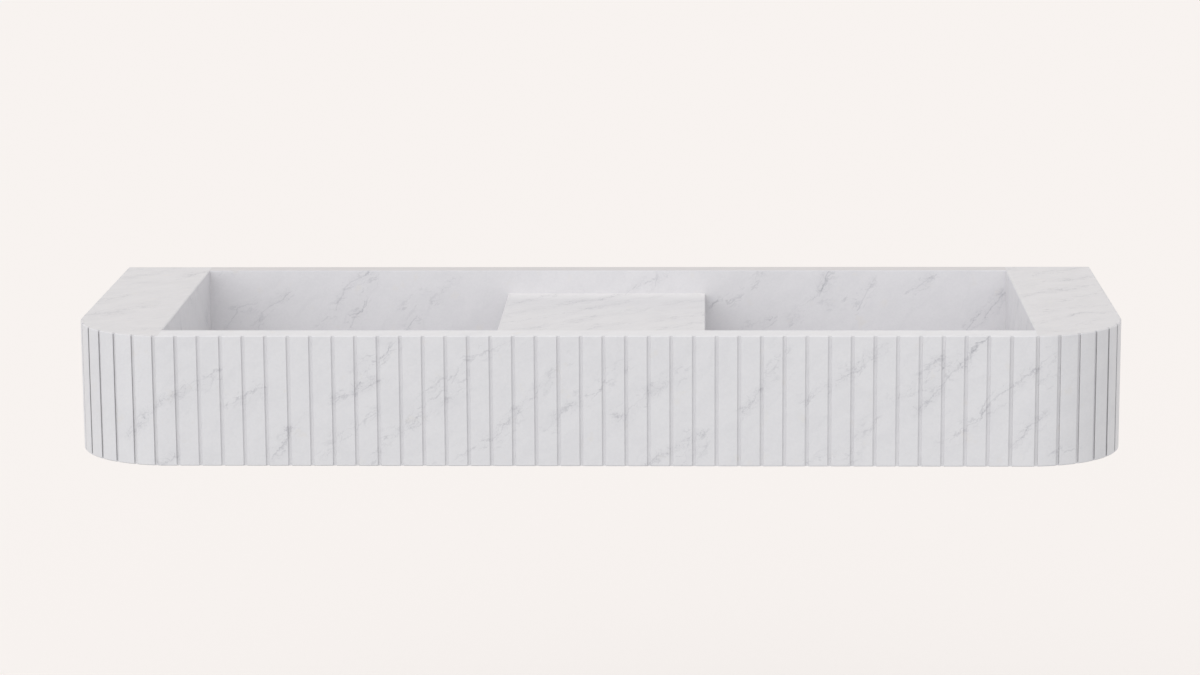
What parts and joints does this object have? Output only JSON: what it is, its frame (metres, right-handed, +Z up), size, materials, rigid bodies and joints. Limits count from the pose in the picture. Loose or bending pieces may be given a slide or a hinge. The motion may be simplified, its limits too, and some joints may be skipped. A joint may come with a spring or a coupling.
{
  "type": "double washbasin",
  "caption": "Wall-hung double washbasin in veined white marble, with a fluted round-cornered front, square basins parted by a sunken shelf, and push-open plugs.",
  "frame": {"origin": "on the wall plane, at the middle of the four wall fixings, at mid-width", "axes": "+X to the right along the front, +Y into the wall, +Z up"},
  "size_m": [1.2, 0.45, 0.188],
  "materials": {
    "marble": "honed, grey veins",
    "chrome": "polished",
    "brass": "machined",
    "rubber": "matt",
    "plastic": "moulded",
    "steel": "stainless",
    "bracket_paint": "powder coated"
  },
  "bodies": {
    "basin": {"back_slab": "marble", "basin_floor": "marble", "centre_shelf": "marble", "deck_bolts": "steel", "deck_inserts": "brass", "deck_washers": "steel", "dowel_pins": "steel", "front_fascia": "marble", "left_back_nut": "brass", "left_bracket": "bracket_paint", "left_bracket_pad": "rubber", "left_cartridge_barrel": "plastic", "left_cartridge_base": "plastic", "left_corner": "marble", "left_deck": "marble", "left_end_wall": "marble", "left_flange_seal": "rubber", "left_plug_spring": "steel", "left_shelf_cheek": "marble", "left_side": "marble", "left_under_gasket": "rubber", "left_waste_body": "chrome", "right_back_nut": "brass", "right_bracket": "bracket_paint", "right_bracket_pad": "rubber", "right_cartridge_barrel": "plastic", "right_cartridge_base": "plastic", "right_corner": "marble", "right_deck": "marble", "right_end_wall": "marble", "right_flange_seal": "rubber", "right_plug_spring": "steel", "right_shelf_cheek": "marble", "right_side": "marble", "right_under_gasket": "rubber", "right_waste_body": "chrome"},
    "left_plug": {"left_plug_cap": "chrome", "left_plug_seal": "rubber", "left_plunger": "brass"},
    "right_plug": {"right_plug_cap": "chrome", "right_plug_seal": "rubber", "right_plunger": "brass"}
  },
  "joints": [
    {"name": "left_plug_lift", "type": "slide", "parent": "basin", "child": "left_plug", "axis": [0, 0, 1], "range_m": [0, 0.01], "deforming": ["left_plug_spring"]},
    {"name": "right_plug_lift", "type": "slide", "parent": "basin", "child": "right_plug", "axis": [0, 0, 1], "range_m": [0, 0.01], "deforming": ["right_plug_spring"]}
  ]
}
